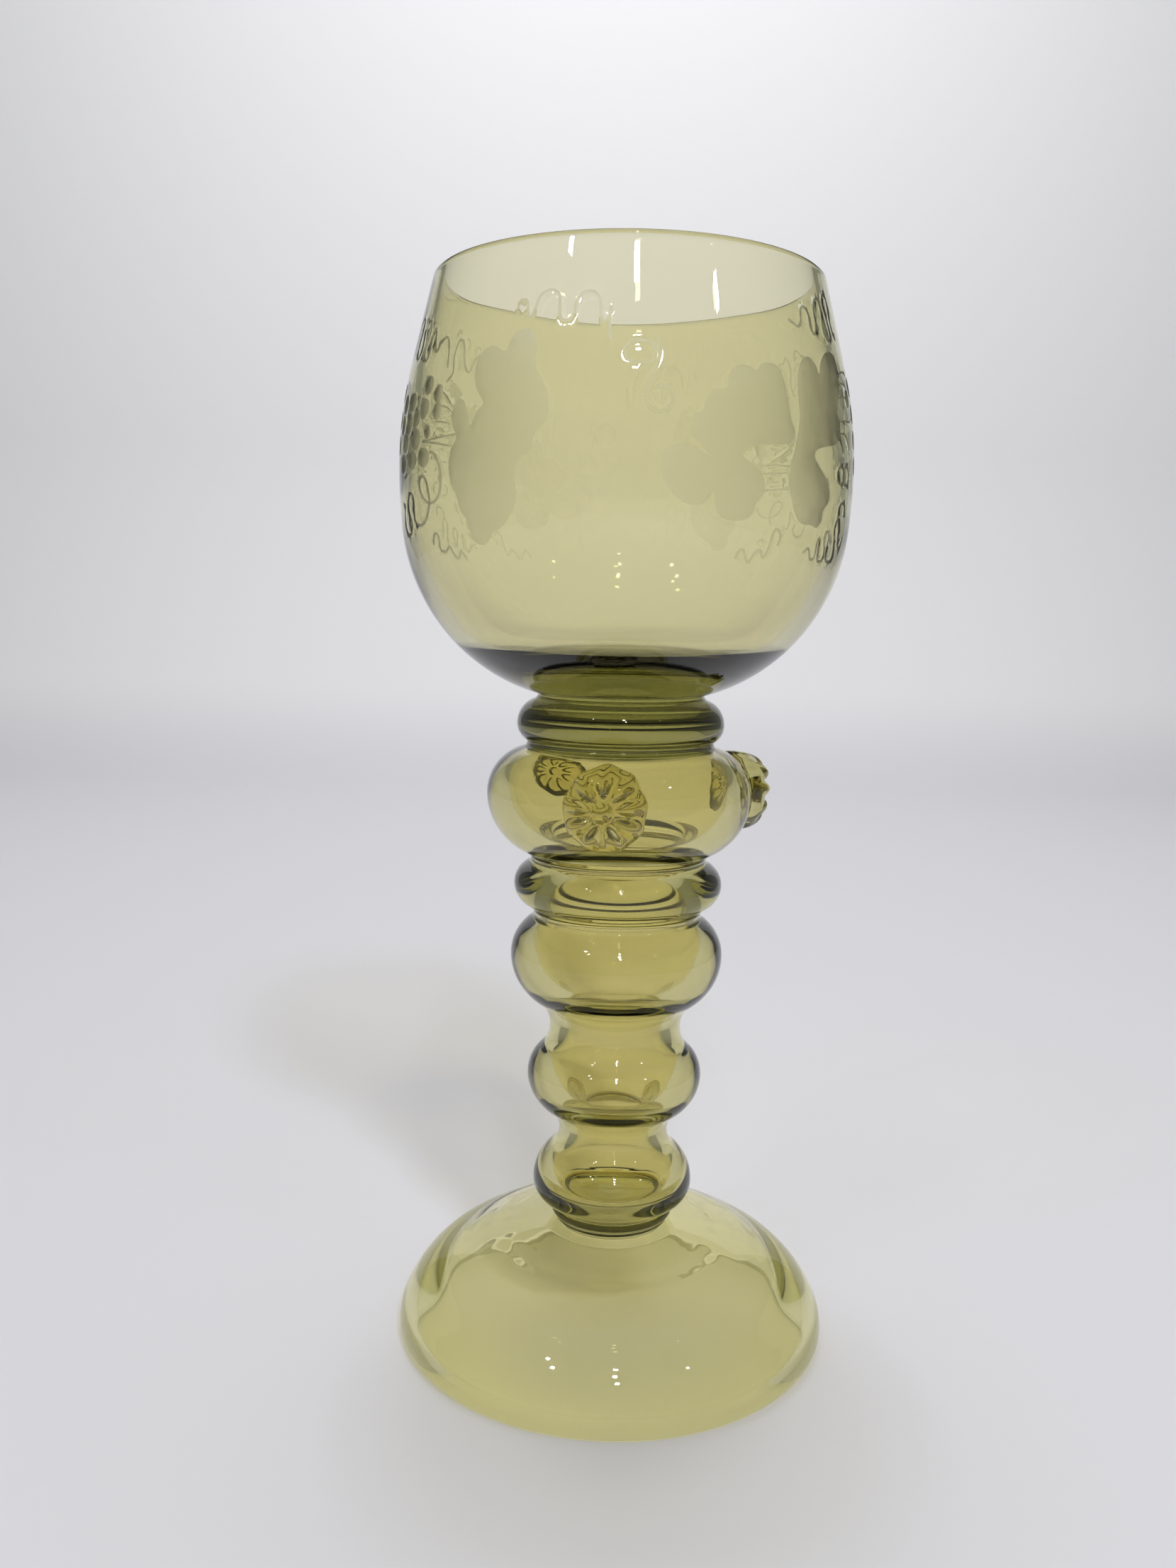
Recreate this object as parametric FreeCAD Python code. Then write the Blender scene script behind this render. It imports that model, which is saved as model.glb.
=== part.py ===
import FreeCAD, Part
import math
import os
from FreeCAD import Vector

# Roemer: a wine glass with a barrel bowl, a hollow knopped stem with three pressed
# seals of glass (prunts) and a domed foot. Every piece of glass is its own solid.
# Millimetres, +Z up, the table at Z = 0 and the axis of the glass on Z.
# Directions round the axis are counted from the front, -Y, towards +X.

# Foot: a dome, hollow below, with a thick rounded edge that it stands on
FOOT_HEIGHT = 21.2
FOOT_RADIUS = 39.7
FOOT_RESTING_RADIUS = 38.6
FOOT_EDGE_RISE = 2.2
FOOT_RING_WIDTH = 2.8
FOOT_WALL = 2.4
FOOT_RIM_SHARES = (0.984, 0.245)
FOOT_SHOULDER_SHARES = (0.796, 0.651)
FOOT_COLLAR_RADIUS = 10.6

# The thicker round under the dome's top, where the stem and the pontil iron were joined
PAD_RADIUS = 21.5
PAD_RAMP = 3.5
PAD_WALL = 4.4

# Collar: the small ring where the stem was welded to the foot
COLLAR_HEIGHT = 1.7
COLLAR_RADIUS = 11.05

# Stem: one blown piece with three knops, from the collar up
STEM_BASE_RADIUS = 10.0
LOW_KNOP_RADIUS = 14.85
LOW_NECK_RADIUS = 10.15
MIDDLE_KNOP_RADIUS = 16.15
HIGH_NECK_RADIUS = 12.1
HIGH_KNOP_RADIUS = 19.46
LOW_KNOP_RISE = 5.5
LOW_NECK_RISE = 9.6
MIDDLE_KNOP_RISE = 10.9
HIGH_NECK_RISE = 9.1
HIGH_KNOP_RISE = 13.6
STEM_TOP_RISE = 7.4

# The stem's air: the glass around it at each place, and how far it lies above the outline's
# own knops and necks, because the soft glass sank before it was turned over
LOW_KNOP_WALL = 4.45
LOW_NECK_WALL = 3.75
MIDDLE_KNOP_WALL = 4.15
HIGH_NECK_WALL = 3.7
HIGH_KNOP_WALL = 4.26
STEM_AIR_LIFT = 1.1
STEM_FLOOR = 1.5
STEM_FLOOR_RADIUS = 2.5
STEM_FLOOR_TURN = math.radians(38)
STEM_AIR_SHARES = (0.35, 0.5, 0.35, 0.5, 0.7)

# How much of each turn between a neck and a knop belongs to the knop's round
LOW_KNOP_SHARES = (0.75, 0.64)
MIDDLE_KNOP_SHARES = (0.60, 0.51)
HIGH_KNOP_SHARES = (0.63, 0.89)

# Lower ring: a thick bead with the stem's hollow running through it
LOWER_RING_BASE_RADIUS = 15.35
LOWER_RING_RADIUS = 18.97
LOWER_RING_RISE = 5.7
LOWER_RING_TOP_RISE = 4.6
LOWER_RING_SHARES = (0.64, 0.81)
BORE_RADIUS = 12.6

# Prunted knop: the wide bulge, open to the bore below and closed above
BULGE_BASE_RADIUS = 16.0
BULGE_RADIUS = 24.0
BULGE_RISE = 12.1
BULGE_TOP_RISE = 9.1
BULGE_SHARES = (0.89, 0.90)
BULGE_WALL = 3.6
BULGE_ROOF = 2.6
BULGE_AIR_LIFT = 0.8

# Upper ring: a solid bead that closes the stem and carries the bowl
UPPER_RING_BASE_RADIUS = 16.9
UPPER_RING_RADIUS = 18.7
UPPER_RING_RISE = 3.4
UPPER_RING_TOP_RISE = 5.25
UPPER_RING_SHARES = (0.85, 0.83)

# Bowl: a barrel with a thin wall, a rounded lip and a thick bottom
BOWL_BASE_RADIUS = 15.0
BOWL_RADIUS = 39.47
BOWL_BELLY_RISE = 38.25
BOWL_LIP_RISE = 32.6
BOWL_WALL = 1.8
BOWL_BOTTOM = 6.65
BOWL_CORNER_RADIUS = 13.0
BELLY_ARC_RADIUS = 91.7
SHOULDER_ARC_RADIUS = 72.0
BELLY_TURN = math.radians(6.33)
LIP_LEAN = math.radians(13.96)

# Prunts: daisy-stamped seals, a ring of drop-shaped petals round a centre bead
PRUNT_RADIUS = 7.2
PRUNT_FACE_RADIUS = 6.6
PRUNT_THICKNESS = 2.6
PRUNT_ROUNDING = 1.1
PRUNT_PETALS = 9
PETAL_START = 1.9
PETAL_REACH = 6.5
PETAL_HALF_WIDTH = 1.5
PETAL_SINK = 0.25
BEAD_RADIUS = 1.6
BEAD_SINK = 0.3
PRUNT_ROOT = 7.0
PRUNTS = {
    "prunt_front": math.radians(-7.0),
    "prunt_right": math.radians(103.0),
    "prunt_back": math.radians(-146.0),
}

# Heights above the table at which one piece sits on the next
COLLAR_BASE = FOOT_HEIGHT
STEM_BASE = COLLAR_BASE + COLLAR_HEIGHT
LOW_KNOP_HEIGHT = STEM_BASE + LOW_KNOP_RISE
LOW_NECK_HEIGHT = LOW_KNOP_HEIGHT + LOW_NECK_RISE
MIDDLE_KNOP_HEIGHT = LOW_NECK_HEIGHT + MIDDLE_KNOP_RISE
HIGH_NECK_HEIGHT = MIDDLE_KNOP_HEIGHT + HIGH_NECK_RISE
HIGH_KNOP_HEIGHT = HIGH_NECK_HEIGHT + HIGH_KNOP_RISE
LOWER_RING_BASE = HIGH_KNOP_HEIGHT + STEM_TOP_RISE
BULGE_BASE = LOWER_RING_BASE + LOWER_RING_RISE + LOWER_RING_TOP_RISE
BULGE_HEIGHT = BULGE_BASE + BULGE_RISE
UPPER_RING_BASE = BULGE_HEIGHT + BULGE_TOP_RISE
BOWL_BASE = UPPER_RING_BASE + UPPER_RING_RISE + UPPER_RING_TOP_RISE
BELLY_HEIGHT = BOWL_BASE + BOWL_BELLY_RISE
LIP_HEIGHT = BELLY_HEIGHT + BOWL_LIP_RISE

UPRIGHT = math.pi / 2
AXIS_POINT = Vector(0, 0, 0)
AXIS = Vector(0, 0, 1)
OUTWARD = Vector(1, 0, 0)


def left_of(heading):
    """The direction a quarter turn to the left of a heading, in the X-Z plane."""
    return Vector(-math.sin(heading), 0, math.cos(heading))


def chord_angle(start, end):
    """The heading of the straight way from one point to another."""
    return math.atan2(end.z - start.z, end.x - start.x)


def arc_centre(start, heading, end):
    """Centre of the arc that leaves start along heading and ends at end."""
    chord = end - start
    side = left_of(heading)
    return start + side * (chord.Length ** 2 / (2 * side.dot(chord)))


class Outline:
    """Edges drawn one after another in the X-Z plane, where X is the distance from the axis."""

    def __init__(self, start, heading=UPRIGHT):
        self.start = start
        self.end = start
        self.heading = heading
        self.edges = []

    def line_to(self, end):
        """A straight stretch."""
        self.edges.append(Part.makeLine(self.end, end))
        self.heading = chord_angle(self.end, end)
        self.end = end

    def arc_to(self, end):
        """A round stretch that leaves along the heading of the one before."""
        chord = end - self.end
        along = chord_angle(self.end, end)
        turn = along - self.heading
        turn = math.atan2(math.sin(turn), math.cos(turn))
        bow = left_of(along) * (chord.Length * math.tan(turn / 2) / 2)
        middle = (self.end + end) / 2 - bow
        self.edges.append(Part.Arc(self.end, middle, end).toShape())
        self.heading = along + turn
        self.end = end

    def swell_to(self, end, bulge):
        """Two tangent arcs from one upright place to the next. Bulge is the radius of the
        one on the wider side."""
        reach = abs(end.x - self.end.x)
        side = math.copysign(1, end.x - self.end.x)
        rise = end.z - self.end.z
        both = swell_radius(self.end, end)
        turn = math.atan2(rise, both - reach)
        first = both - bulge if side > 0 else bulge
        across = Vector(side * first * (1 - math.cos(turn)), 0, first * math.sin(turn))
        self.arc_to(self.end + across)
        self.arc_to(end)

    def turned(self):
        """The solid that this outline, closed along the axis, sweeps in a full turn."""
        if self.end.x > 0:
            self.line_to(Vector(0, 0, self.end.z))
        if self.start.x > 0:
            self.line_to(Vector(0, 0, self.start.z))
        self.line_to(self.start)
        face = Part.Face(Part.Wire(self.edges))
        return one_solid(face.revolve(AXIS_POINT, AXIS, math.degrees(2 * math.pi)))


def on_round(centre, radius, distance):
    """The upper point of a circle at a distance from the axis."""
    return at(distance, centre.z + math.sqrt(radius ** 2 - (distance - centre.x) ** 2))


def swell_radius(low, high):
    """The radii of both arcs of a swell added up."""
    reach = high.x - low.x
    rise = high.z - low.z
    return (reach ** 2 + rise ** 2) / (2 * abs(reach))


def one_solid(shape):
    """The single solid in a shape, with its seams merged and its skin outwards."""
    solid = shape.removeSplitter().Solids[0]
    if solid.Volume < 0:
        solid.reverse()
    return solid


def at(radius, height):
    """A point of an outline."""
    return Vector(radius, 0, height)


def foot_points():
    """Rim, shoulder and collar seat of the dome, from the outside in."""
    return [
        at(FOOT_RADIUS * FOOT_RIM_SHARES[0], FOOT_HEIGHT * FOOT_RIM_SHARES[1]),
        at(FOOT_RADIUS * FOOT_SHOULDER_SHARES[0], FOOT_HEIGHT * FOOT_SHOULDER_SHARES[1]),
        at(FOOT_COLLAR_RADIUS, FOOT_HEIGHT),
    ]


def foot_hollow():
    """The space under the dome, with the pad standing down from its ceiling."""
    rim, shoulder, seat = foot_points()
    edge = at(FOOT_RADIUS, FOOT_EDGE_RISE)
    dome = Outline(edge)
    hollow = Outline(at(FOOT_RESTING_RADIUS - FOOT_RING_WIDTH, 0))
    hollow.line_to(edge - OUTWARD * FOOT_WALL)
    hollow.heading = UPRIGHT
    for point in (rim, shoulder):
        dome.arc_to(point)
        hollow.arc_to(point + left_of(dome.heading) * FOOT_WALL)
    centre = arc_centre(shoulder, dome.heading, seat)
    dome_radius = (shoulder - centre).Length
    hollow.arc_to(on_round(centre, dome_radius - FOOT_WALL, PAD_RADIUS))
    pad_radius = dome_radius - PAD_WALL
    hollow.line_to(on_round(centre, pad_radius, PAD_RADIUS - PAD_RAMP))
    hollow.heading = chord_angle(hollow.end, centre) - UPRIGHT
    hollow.arc_to(on_round(centre, pad_radius, seat.x))
    return hollow.turned()


def foot():
    """The domed foot."""
    start = at(FOOT_RESTING_RADIUS, 0)
    edge = at(FOOT_RADIUS, FOOT_EDGE_RISE)
    dome = Outline(start, 2 * chord_angle(start, edge) - UPRIGHT)
    dome.arc_to(edge)
    for point in foot_points():
        dome.arc_to(point)
    return one_solid(dome.turned().cut(foot_hollow()))


def stem_collar():
    """The ring between the foot and the stem."""
    ring = Outline(at(FOOT_COLLAR_RADIUS, COLLAR_BASE))
    middle = at(COLLAR_RADIUS, COLLAR_BASE + COLLAR_HEIGHT / 2)
    top = at(STEM_BASE_RADIUS, STEM_BASE)
    ring.edges.append(Part.Arc(ring.end, middle, top).toShape())
    ring.end = top
    return ring.turned()


def stem_places():
    """The upright places of the stem's outline, from the collar up, and the knops' shares
    of the turns between them."""
    places = [
        at(STEM_BASE_RADIUS, STEM_BASE),
        at(LOW_KNOP_RADIUS, LOW_KNOP_HEIGHT),
        at(LOW_NECK_RADIUS, LOW_NECK_HEIGHT),
        at(MIDDLE_KNOP_RADIUS, MIDDLE_KNOP_HEIGHT),
        at(HIGH_NECK_RADIUS, HIGH_NECK_HEIGHT),
        at(HIGH_KNOP_RADIUS, HIGH_KNOP_HEIGHT),
        at(LOWER_RING_BASE_RADIUS, LOWER_RING_BASE),
    ]
    return places, LOW_KNOP_SHARES + MIDDLE_KNOP_SHARES + HIGH_KNOP_SHARES


def stem_hollow():
    """The air inside the stem, from its rounded floor to the bore of the lower ring."""
    walls = (LOW_KNOP_WALL, LOW_NECK_WALL, MIDDLE_KNOP_WALL, HIGH_NECK_WALL, HIGH_KNOP_WALL)
    skin = stem_places()[0][1:-1]
    places = [place - OUTWARD * wall + AXIS * STEM_AIR_LIFT for place, wall in zip(skin, walls)]
    places.append(at(BORE_RADIUS, LOWER_RING_BASE))
    air = Outline(at(STEM_FLOOR_RADIUS, STEM_BASE + STEM_FLOOR), 0)
    air.arc_to(floor_corner(air.end, places[0]))
    air.arc_to(places[0])
    for low, high, share in zip(places, places[1:], STEM_AIR_SHARES):
        air.swell_to(high, swell_radius(low, high) * share)
    return air.turned()


def floor_corner(start, end):
    """Where the floor's wide arc meets the narrow one that ends upright."""
    across = end.x - start.x
    rise = end.z - start.z
    sine = math.sin(STEM_FLOOR_TURN)
    cosine = math.cos(STEM_FLOOR_TURN)
    wide = (across * cosine - rise * (1 - sine)) / (sine * cosine - (1 - sine) * (1 - cosine))
    return start + at(sine, 1 - cosine) * wide


def stem():
    """The blown stem with its three knops."""
    places, shares = stem_places()
    skin = Outline(places[0])
    for low, high, share in zip(places, places[1:], shares):
        skin.swell_to(high, swell_radius(low, high) * share)
    return one_solid(skin.turned().cut(stem_hollow()))


def bead(base, widest, top, shares):
    """A solid ring of glass, upright where it meets its neighbours."""
    skin = Outline(base)
    skin.swell_to(widest, swell_radius(base, widest) * shares[0])
    skin.swell_to(top, swell_radius(widest, top) * shares[1])
    return skin.turned()


def lower_ring():
    """The bead between the stem and the bulge, bored through."""
    skin = bead(
        at(LOWER_RING_BASE_RADIUS, LOWER_RING_BASE),
        at(LOWER_RING_RADIUS, LOWER_RING_BASE + LOWER_RING_RISE),
        at(BULGE_BASE_RADIUS, BULGE_BASE),
        LOWER_RING_SHARES,
    )
    bore = Outline(at(BORE_RADIUS, LOWER_RING_BASE))
    bore.line_to(at(BORE_RADIUS, BULGE_BASE))
    return one_solid(skin.cut(bore.turned()))


def bulge_places():
    """Bottom, widest place and top of the bulge's outline."""
    return (
        at(BULGE_BASE_RADIUS, BULGE_BASE),
        at(BULGE_RADIUS, BULGE_HEIGHT),
        at(UPPER_RING_BASE_RADIUS, UPPER_RING_BASE),
    )


def bulge_skin():
    """The bulge without its hollow."""
    return bead(*bulge_places(), BULGE_SHARES)


def prunted_knop():
    """The wide bulge, open below and closed by its roof."""
    base, widest, top = bulge_places()
    air = Outline(at(BORE_RADIUS, base.z))
    inner = widest - OUTWARD * BULGE_WALL + AXIS * BULGE_AIR_LIFT
    air.swell_to(inner, swell_radius(air.end, inner) * BULGE_SHARES[0])
    corner = top.z - BULGE_ROOF - inner.z
    air.arc_to(inner + (AXIS - OUTWARD) * corner)
    return one_solid(bulge_skin().cut(air.turned()))


def upper_ring():
    """The solid bead under the bowl."""
    return bead(
        at(UPPER_RING_BASE_RADIUS, UPPER_RING_BASE),
        at(UPPER_RING_RADIUS, UPPER_RING_BASE + UPPER_RING_RISE),
        at(BOWL_BASE_RADIUS, BOWL_BASE),
        UPPER_RING_SHARES,
    )


def bowl():
    """The barrel bowl: up the outside, over the lip and down the inside."""
    base = at(BOWL_BASE_RADIUS, BOWL_BASE)
    widest = at(BOWL_RADIUS, BELLY_HEIGHT)
    belly_drop = at(math.cos(BELLY_TURN) - 1, -math.sin(BELLY_TURN)) * BELLY_ARC_RADIUS
    belly = widest + belly_drop
    belly_heading = UPRIGHT - BELLY_TURN
    shoulder_rise = at(math.cos(LIP_LEAN) - 1, math.sin(LIP_LEAN)) * SHOULDER_ARC_RADIUS
    shoulder = widest + shoulder_rise
    lean = left_of(UPRIGHT + LIP_LEAN)
    half_wall = BOWL_WALL / 2
    lip_z = LIP_HEIGHT - half_wall - half_wall * lean.z
    lip = at(shoulder.x - (lip_z - shoulder.z) * math.tan(LIP_LEAN), lip_z)

    wall = Outline(base, 2 * chord_angle(base, belly) - belly_heading)
    wall.arc_to(belly)
    wall.arc_to(widest)
    wall.arc_to(shoulder)
    wall.line_to(lip)
    wall.arc_to(lip + lean * BOWL_WALL)
    wall.line_to(shoulder + lean * BOWL_WALL)
    wall.arc_to(widest - OUTWARD * BOWL_WALL)
    wall.arc_to(belly + left_of(belly_heading) * BOWL_WALL)

    centre = arc_centre(belly, belly_heading, base)
    round_radius = (wall.end - centre).Length
    floor = BOWL_BASE + BOWL_BOTTOM
    corner_z = floor + BOWL_CORNER_RADIUS
    reach = round_radius - BOWL_CORNER_RADIUS
    corner_x = centre.x + math.sqrt(reach ** 2 - (centre.z - corner_z) ** 2)
    corner = at(corner_x, corner_z)
    outwards = (corner - centre) * (1 / reach)
    wall.arc_to(centre + outwards * round_radius)
    wall.arc_to(at(corner_x, floor))
    return wall.turned()


def petal():
    """One drop of the daisy, lying on the prunt's face and pointing to its centre."""
    middle = PETAL_REACH - PETAL_HALF_WIDTH
    slope = math.asin(PETAL_HALF_WIDTH / (middle - PETAL_START))
    drop = Outline(at(0, PETAL_START), UPRIGHT - slope)
    side = at(math.cos(slope), -math.sin(slope)) * PETAL_HALF_WIDTH
    drop.line_to(at(0, middle) + side)
    drop.arc_to(at(0, PETAL_REACH))
    return drop.turned()


def prunt(azimuth):
    """A pressed seal: a rounded button with its petals and bead, cut to seat on the bulge."""
    face = PRUNT_THICKNESS + BULGE_RADIUS
    button = Outline(at(PRUNT_RADIUS, BULGE_RADIUS - PRUNT_ROOT))
    button.line_to(at(PRUNT_FACE_RADIUS, face - PRUNT_ROUNDING))
    button.arc_to(at(PRUNT_FACE_RADIUS - PRUNT_ROUNDING, face))
    centre = Outline(at(BEAD_RADIUS, face - BEAD_SINK))
    centre.arc_to(at(0, face - BEAD_SINK + BEAD_RADIUS))
    pieces = [centre.turned()]
    drop = petal()
    drop.rotate(AXIS_POINT, OUTWARD, math.degrees(UPRIGHT))
    for number in range(PRUNT_PETALS):
        copy = drop.copy()
        copy.translate(AXIS * (face - PETAL_SINK))
        copy.rotate(AXIS_POINT, AXIS, math.degrees(2 * math.pi) * number / PRUNT_PETALS)
        pieces.append(copy)
    seal = button.turned().multiFuse(pieces)
    seal.rotate(AXIS_POINT, OUTWARD, math.degrees(UPRIGHT))
    seal.rotate(AXIS_POINT, AXIS, math.degrees(azimuth))
    seal.translate(AXIS * BULGE_HEIGHT)
    return one_solid(seal.cut(bulge_skin()))


def main():
    """Write one STEP file for each piece of glass."""
    pieces = {
        "foot": foot(),
        "stem_collar": stem_collar(),
        "stem": stem(),
        "lower_ring": lower_ring(),
        "prunted_knop": prunted_knop(),
        "upper_ring": upper_ring(),
        "bowl": bowl(),
    }
    for name, azimuth in PRUNTS.items():
        pieces[name] = prunt(azimuth)
    os.makedirs("parts", exist_ok=True)
    for name, solid in pieces.items():
        solid.exportStep(os.path.join("parts", name + ".step"))
        print(name, "valid" if solid.isValid() else "not valid", round(solid.Volume), "mm3")


main()
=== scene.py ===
import bmesh
import bpy
import math
from mathutils import Matrix, Vector, geometry, kdtree, noise


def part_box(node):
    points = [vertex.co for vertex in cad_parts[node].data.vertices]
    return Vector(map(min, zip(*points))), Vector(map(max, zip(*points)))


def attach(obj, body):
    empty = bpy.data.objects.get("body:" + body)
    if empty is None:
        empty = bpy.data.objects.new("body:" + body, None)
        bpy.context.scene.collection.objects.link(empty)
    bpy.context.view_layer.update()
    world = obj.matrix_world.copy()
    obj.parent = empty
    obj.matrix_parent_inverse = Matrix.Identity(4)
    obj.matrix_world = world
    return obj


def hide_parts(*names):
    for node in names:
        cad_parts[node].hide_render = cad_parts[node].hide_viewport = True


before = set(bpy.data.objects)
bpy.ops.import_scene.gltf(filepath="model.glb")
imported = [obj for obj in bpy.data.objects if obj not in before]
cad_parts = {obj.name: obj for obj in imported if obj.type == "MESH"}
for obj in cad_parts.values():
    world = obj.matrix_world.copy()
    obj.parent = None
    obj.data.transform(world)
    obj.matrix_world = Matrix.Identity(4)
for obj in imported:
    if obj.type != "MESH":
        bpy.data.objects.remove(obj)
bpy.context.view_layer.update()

# A roemer in olive-yellow forest glass. Outlines are in millimetres, as distance from the
# axis and height above the table. Directions round the axis are counted from the front, -Y.
MM = 0.001
UPRIGHT = math.pi / 2
FULL_TURN = 2 * math.pi
ROUND_STEPS = 256
ARC_STEP = math.radians(5)
LONGEST_STEP = 1.1
WELD_OVERLAP = 0.03
ON_AXIS = 1e-6
MERGE_DISTANCE = 1e-7
SHARP_ANGLE = math.radians(35)

# Outlines of the pieces between the places that the CAD model in model.glb gives
STEM_NECKS = ((10.15, 9.6), (12.1, 9.1))
STEM_KNOPS = ((14.85, 5.5), (16.15, 10.9), (19.46, 13.6))
STEM_SHARES = (0.75, 0.64, 0.60, 0.51, 0.63, 0.89)
STEM_BASE_RADIUS = 10.0
STEM_AIR_NECKS = (6.4, 8.4)
STEM_AIR_KNOPS = (11.4, 12.4, 15.8)
STEM_AIR_SHARES = (0.35, 0.5, 0.35, 0.5, 0.7)
STEM_AIR_LIFT = 1.1
STEM_FLOOR_RADIUS = 2.5
STEM_FLOOR_TURN = math.radians(38)
STEM_FLOOR = 1.5
STEM_TOP_RADIUS = 15.35
RING_RISE = 5.7
RING_SHARES = (0.64, 0.81)
BORE_RADIUS = 12.6
BULGE_BASE_RADIUS = 16.0
BULGE_RISE = 12.1
BULGE_SHARES = (0.89, 0.90)
BULGE_WALL = 3.6
BULGE_AIR_LIFT = 0.8
BULGE_ROOF = 2.6
BULGE_FLOOR = 2.5
UPPER_RING_BASE_RADIUS = 16.9
UPPER_RING_RISE = 3.4
UPPER_RING_SHARES = (0.85, 0.83)
COLLAR_BASE_RADIUS = 10.6
FOOT_RESTING_RADIUS = 38.6
FOOT_RING_WIDTH = 2.8
FOOT_EDGE_RISE = 2.2
FOOT_RIM_SHARES = (0.984, 0.245)
FOOT_SHOULDER_SHARES = (0.796, 0.651)
FOOT_WALL = 2.4
FOOT_RIM_WALL = 3.9
FOOT_RIM_REACH = (30.0, 38.5)
FOOT_PAD_WALL = 3.1
FOOT_PAD_REACH = (27.0, 14.0)
FOOT_SCAR_RADIUS = 20.5
FOOT_SCAR_STEP = 0.32
FOOT_SCAR_HALF_WIDTH = 0.8
FOOT_SCAR_REACH = 5.0
FOOT_SCAR_WANDER = 1.1
FOOT_SCAR_WAVES = ((1.0, 1.3), (0.4, 5.0))
FOOT_RIPPLE = 0.02
FOOT_RIPPLE_LENGTH = 3.4
FOOT_RIPPLE_START = (16.0, 20.0)
FOOT_RIPPLE_END = (32.0, 28.0)
BOWL_BASE_RADIUS = 15.0
BELLY_RADIUS = 39.47
BOWL_BELLY_RISE = 38.25
BOWL_WALL = 1.8
BOWL_LOW_WALL = 2.5
BOWL_BOTTOM = 6.65
BOWL_CORNER_RADIUS = 13.0
BELLY_ARC_RADIUS = 91.7
SHOULDER_ARC_RADIUS = 72.0
BELLY_TURN = math.radians(6.33)
LIP_LEAN = math.radians(13.96)
LIP_POINTS = 12

# Hand work: how far walls wander from true, and over what length
SKIN_WANDER = 0.10
INNER_WANDER = 0.22
WANDER_LENGTH = 16.0
SKIN_SEED = 0.0
INNER_SEED = 7.3

# Glasses: tint of the surface, colour that thickness brings, colour of the shadow, and
# whether the wheel cut it
GLASSES = {
    "bowl_glass": ((0.99, 0.958, 0.743), (0.60, 0.60, 0.32), (0.88, 0.86, 0.74), True),
    "stem_glass": ((0.925, 0.866, 0.535), (0.70, 0.70, 0.42), (0.80, 0.78, 0.60), False),
    "foot_glass": ((0.965, 0.94, 0.735), (0.83, 0.82, 0.45), (0.91, 0.90, 0.79), False),
}
GLASS_IOR = 1.5
ABSORPTION_DENSITY = 100

# Faces this level are taken for the inside of a weld and get no tint
WELD_LEVEL = 0.9995

# Handling leaves faint smears on the skin, and the wheel a fine matt grain
SMEAR_SCALE = 60
SMEAR_DETAIL = 2
SMEAR_SPAN = (0.45, 0.8)
SMEAR_ROUGHNESS = 0.05
FROST_ROUGHNESS = 0.4
FROST_GRAIN = 0.2
GRAIN_SCALE = 900

# Paper sweep under and behind the glass, in metres
STAGE_REACH = 0.75
STAGE_FRONT = -1.2
STAGE_BACK = 0.8
STAGE_BEND = 0.3
STAGE_BEND_STEPS = 18
STAGE_TOP = 0.75
TABLE_COLOUR = (0.75, 0.74, 0.785)
BACKDROP_COLOUR = (0.85, 0.845, 0.88)
BACKDROP_HEIGHT = 0.07
PAPER_ROUGHNESS = 0.7
PAPER_SPECULAR = 0.2

# The room round the table: its colour, how bright its walls and ceiling are, and where one
# turns into the other
ROOM_COLOUR = (0.97, 1.0, 0.9)
WALL_LIGHT = 0.3
CEILING_LIGHT = 0.15
WALL_TOP = 0.1
CEILING_EDGE = 0.6

# Lamps: degrees round from the front, degrees up, metres away, size in metres, watts, and
# where they point if not at the glass. The soft ones don't show in the glass.
GLASS_MIDDLE = (0, 0, 0.1)
SOFT_LAMPS = {
    "key": (20, 43, 1.1, 0.12, 4.7),
    "overhead": (188, 80, 1.3, 0.16, 2.4),
    "backdrop_light": (180, 75, 1.1, 0.6, 4.6, (0, 1.1, 0.35)),
    "far_table_light": (180, 60, 1.3, 0.6, 1.6, (0, 0.95, 0)),
}
SMALL_LAMPS = {
    "ceiling_near": (4, 37, 1.1, 0.04, 0.6),
    "ceiling_middle": (3, 44, 1.15, 0.04, 0.6),
    "ceiling_far": (4, 51, 1.2, 0.04, 0.6),
    "side_low": (-38, 44, 1.2, 0.04, 0.4),
    "side_high": (-46, 50, 1.2, 0.04, 0.4),
    "side_right": (50, 40, 1.2, 0.03, 0.25),
}

# Camera, in metres and radians, with the lens in millimetres
CAMERA_PLACE = (-0.005702, -0.235142, 0.13355)
CAMERA_PITCH = 0.13039
CAMERA_ROLL = 0.016228
CAMERA_LENS = 30.0
CAMERA_SENSOR = 36
CAMERA_NEAREST = 0.01

# Stamped seals: a button of glass with drop-shaped petals round a bead
SEAL_AZIMUTHS = {"prunt_front": -7.0, "prunt_right": 103.0, "prunt_back": -146.0}
SEAL_SIZES = {
    "Radius": 7.2,
    "Width share": 0.97,
    "Height share": 1.0,
    "Edge squareness": 3.4,
    "Scallop share": 0.022,
    "Petal middle": 4.7,
    "Petal half length": 2.35,
    "Petal half width": 1.6,
    "Petal middle width share": 0.82,
    "Petal widening": 0.25,
    "Petal height": 1.05,
    "Petal least height share": 0.8,
    "Petal height chance": 0.35,
    "Petal roundness": 0.95,
    "Bead radius": 1.75,
    "Bead height": 1.1,
    "Bead shift": 0.15,
}
SEAL_PETALS = 9
SEAL_PETAL_STEPS = 14
SEAL_ROWS = 48
SEAL_BACK_SHARE = 0.25
SEAL_FACE = 2.5
SEAL_LEAN = 0.03
SEAL_SEED = 4
SEAL_ROOT = 0.06

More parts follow.
